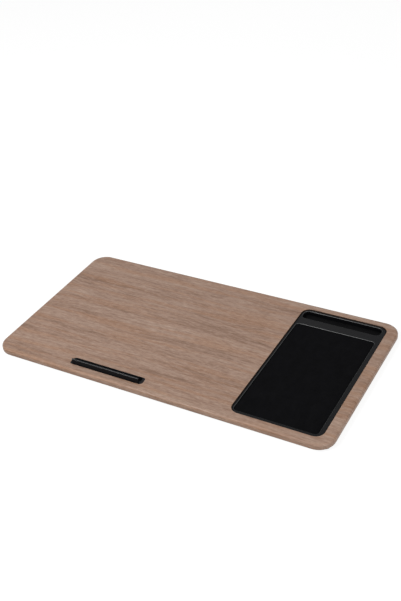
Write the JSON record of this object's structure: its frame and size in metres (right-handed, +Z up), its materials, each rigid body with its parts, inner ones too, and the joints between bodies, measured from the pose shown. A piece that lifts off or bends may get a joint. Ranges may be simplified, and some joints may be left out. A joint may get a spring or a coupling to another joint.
{
  "type": "lap desk board",
  "caption": "Wood-decor lap desk board with a let-in mouse-pad and phone-slot tray and a flip-up laptop stop.",
  "frame": {"origin": "on the supporting surface, below the centre of the board's outline", "axes": "+X to the user's right along the board's length, +Y away from the user, +Z up"},
  "size_m": [0.575, 0.305, 0.023],
  "materials": {
    "wood_decor": "satin printed wood-grain foil, greyish brown",
    "fibreboard": "raw medium-density fibreboard",
    "backer": "plain dark balancing sheet",
    "tray_plastic": "satin moulded black, fine texture",
    "stop_plastic": "satin moulded black",
    "pad_cloth": "fine black knitted mouse-pad cloth",
    "pad_foam": "black foam rubber",
    "adhesive": "clear double-sided film",
    "rubber": "matt black rubber",
    "screw_steel": "zinc-plated steel",
    "pin_steel": "bright steel"
  },
  "bodies": {
    "board": {"board_core": "fibreboard", "decor_foil": "wood_decor", "backer_sheet": "backer", "tray_shell": "tray_plastic", "tray_cover": "tray_plastic", "cover_screws": "screw_steel", "slot_liner": "rubber", "pad_adhesive": "adhesive", "pad_foam": "pad_foam", "pad_cloth": "pad_cloth", "stop_housing": "stop_plastic", "stop_spring": "pin_steel", "stop_screws": "screw_steel", "foot_front_left": "rubber", "foot_front_right": "rubber", "foot_rear_left": "rubber", "foot_rear_right": "rubber", "foot_washers": "screw_steel", "foot_screws": "screw_steel"},
    "stop_flap": {"stop_flap": "stop_plastic", "stop_hinge_pins": "pin_steel"}
  },
  "joints": [
    {"name": "stop_hinge", "type": "hinge", "parent": "board", "child": "stop_flap", "pos_m": [-0.085, -0.1368, 0.012], "axis": [-1, 0, 0], "range_deg": [0, 90]}
  ]
}
